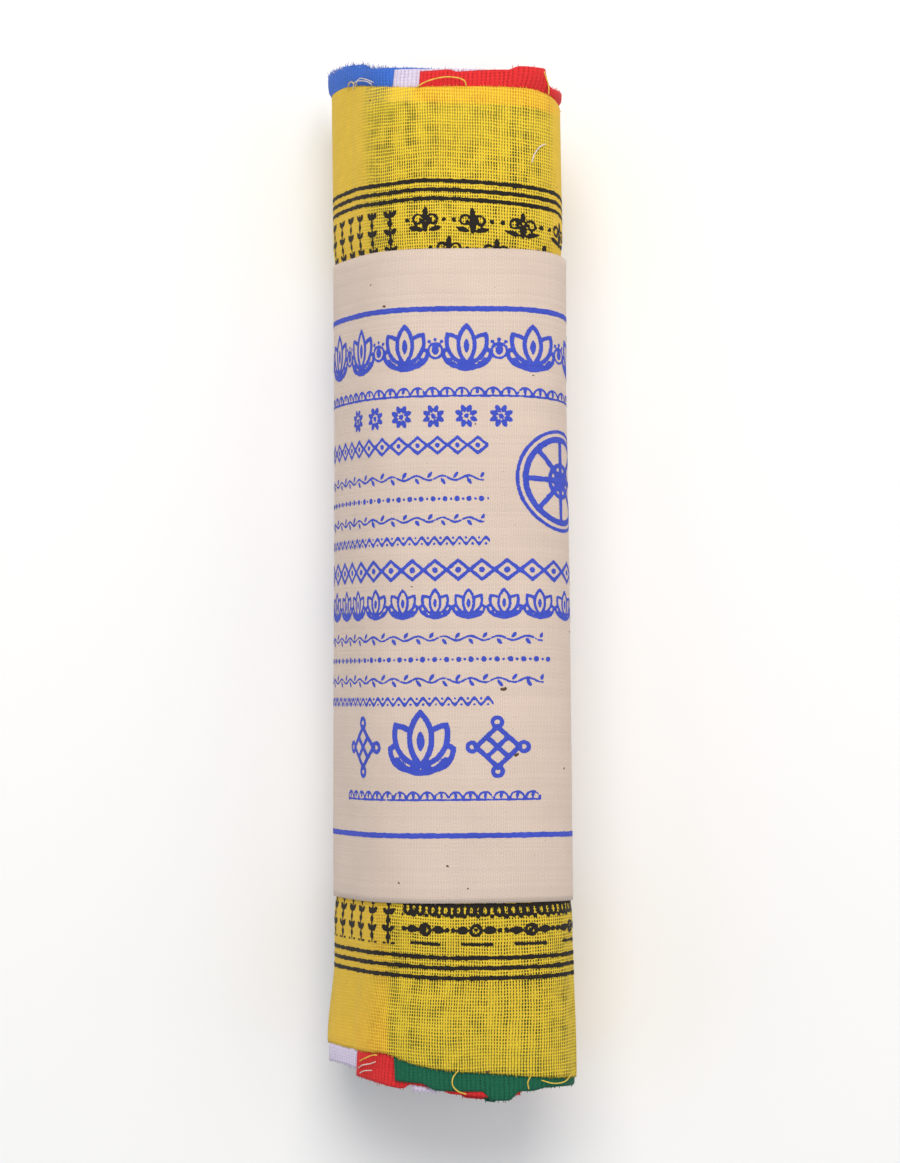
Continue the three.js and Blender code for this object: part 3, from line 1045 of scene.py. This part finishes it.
def loose_thread(knots, radius):
    """A six-sided thread along a smooth curve through its knots, each (across, y in the frame,
    out): between two knots, a cubic whose slopes are half the step from the knot before to the
    one after."""
    knots = np.array(knots, float)
    padded = np.concatenate([2 * knots[:1] - knots[1:2], knots, 2 * knots[-1:] - knots[-2:-1]])
    t = np.linspace(0, 1, 9)[:-1, None, None]
    before, first, second, after = padded[:-3], padded[1:-2], padded[2:-1], padded[3:]
    slope_1, slope_2 = (second - before) / 2, (after - first) / 2
    curve = (first * (2 * t ** 3 - 3 * t ** 2 + 1) + slope_1 * (t ** 3 - 2 * t ** 2 + t)
             + second * (3 * t ** 2 - 2 * t ** 3) + slope_2 * (t ** 3 - t ** 2))
    curve = np.concatenate([curve.transpose(1, 0, 2).reshape(-1, 3), knots[-1:]])
    angle = np.radians(CROWN) - curve[:, 0] / SECTION_RADIUS
    middle = rolled(-curve[:, 2] - radius, angle, curve[:, 1] - AXIS[1])
    way = unit(np.gradient(middle, axis=0))
    aside = unit(np.cross(way, (0.0, 0.0, 1.0)))
    third = np.cross(way, aside)
    side = np.arange(6)
    around = np.radians(60 * side)[None, :, None]
    count = len(middle)
    to_tip = np.minimum(np.arange(count), np.arange(count)[::-1])
    thick = radius / 1000 * np.minimum(1, 0.4 + to_tip)[:, None, None]
    points = middle[:, None] + thick * (np.cos(around) * aside[:, None] + np.sin(around) * third[:, None])
    low = 6 * np.arange(count - 1)[:, None]
    start, after = low + side, low + (side + 1) % 6
    faces = np.stack([start, after, after + 6, start + 6], axis=-1).reshape(-1, 4)
    last = 6 * (count - 1)
    first_cap = np.array([(0, 3, 2, 1), (0, 5, 4, 3)])
    last_cap = last + np.array([(0, 1, 2, 3), (0, 3, 4, 5)])
    return points.reshape(-1, 3), np.concatenate([faces, first_cap, last_cap])


LOOSE_THREADS = {
    # dye: its threads' color, and each one's radius and knots (across, y, out)
    "yellow": ((0.86, 0.62, 0.10), [
        (0.14, [(-6.6, 108.0, 0.3), (-4.2, 109.2, 0.5), (-0.5, 110.1, 0.4), (2.6, 110.0, 0.4),
                (4.4, 109.3, 0.5), (4.9, 108.0, 0.3)]),
        (0.14, [(22.4, 112.6, 0.1), (22.8, 111.0, 0.4), (23.3, 109.4, 0.5), (23.6, 107.4, 0.3)]),
        (0.13, [(-32.5, 110.8, 0.2), (-30.8, 112.2, 0.5), (-28.8, 112.3, 0.5), (-27.6, 111.4, 0.3)]),
        (0.14, [(1.6, -107.6, 0.3), (0.4, -109.2, 0.6), (0.3, -110.9, 0.5), (1.4, -112.2, 0.4),
                (3.2, -112.9, 0.2)]),
        (0.13, [(15.9, -109.4, 0.3), (15.2, -110.6, 0.5), (15.5, -112.2, 0.3)]),
        (0.13, [(18.0, -110.4, 0.3), (20.5, -111.3, 0.5), (23.5, -111.2, 0.5), (26.0, -109.8, 0.3)]),
        (0.13, [(-24.0, -106.9, 0.2), (-21.0, -105.9, 0.4), (-18.6, -105.1, 0.4),
                (-17.0, -104.9, 0.3)]),
    ]),
    "white": ((0.80, 0.70, 0.60), [
        (0.12, [(-29.0, 110.6, 0.2), (-27.0, 111.9, 0.4), (-23.5, 111.6, 0.4), (-20.5, 110.9, 0.3),
                (-18.8, 110.0, 0.2)]),
        (0.12, [(-27.4, 110.9, 0.2), (-24.5, 112.2, 0.4), (-21.0, 111.5, 0.4), (-18.0, 110.3, 0.3)]),
        (0.13, [(-25.0, -108.6, 0.1), (-22.4, -107.6, 0.3), (-19.4, -107.0, 0.3), (-17.6, -106.4, 0.2)]),
        (0.12, [(-24.2, -109.6, 0.1), (-21.8, -108.8, 0.3), (-18.8, -108.4, 0.2)]),
        (0.17, [(19.0, 91.6, 0.1), (19.6, 93.6, 0.2), (21.0, 95.4, 0.2), (22.6, 96.2, 0.1)]),
    ]),
}
for dye, (color, threads) in LOOSE_THREADS.items():
    parts = [loose_thread(knots, radius) for radius, knots in threads]
    thread_object(f"loose_threads_{dye}", parts, thread_color(f"loose_{dye}_thread", color))

SPECKS = [
    # across, row, radius in mm
    (13.8, -39.6, 0.5), (11.4, -25.2, 0.62), (-15.4, 59.6, 0.42), (-1.1, -63.7, 0.3),
    (-12.4, -67.4, 0.26), (25.6, -42.6, 0.3), (6.2, 33.0, 0.2), (-20.0, 64.8, 0.22),
    (18.8, 44.0, 0.2), (-8.8, -2.6, 0.2), (30.4, -12.0, 0.24), (3.4, -68.6, 0.22),
]


def specks_at(specks, place):
    """Uneven seven-sided husks lying on the cloth, low domes with a raised middle."""
    points, faces = [], []
    corner = np.radians(360 / 7 * np.arange(7))
    for number, (across, row, radius) in enumerate(specks):
        uneven = radius * (1 + 0.3 * np.sin(2 * corner + number) + 0.15 * np.sin(3 * corner - number))
        rim = place(across + uneven * np.cos(corner), row + 0.8 * uneven * np.sin(corner), 0.02)
        top = place(np.array([across]), np.array([row]), 0.12 + 0.2 * radius)
        points += [rim, top]
        start = 8 * number
        faces += [(start + side, start + (side + 1) % 7, start + 7, start + 7) for side in range(7)]
        faces += [(start, start + side + 1, start + side, start + side) for side in range(1, 6)]
    return np.concatenate(points), np.array(faces)


husk = thread_color("husk", (0.16, 0.09, 0.05))
thread_object("specks", [specks_at(SPECKS, band_point)], husk)
outer_specks = [(7.8, -107.8, 0.42), (-19.8, 106.6, 0.3), (27.0, 88.9, 0.16)]
thread_object("specks_outer", [specks_at(outer_specks, outer_flag_point)], husk)
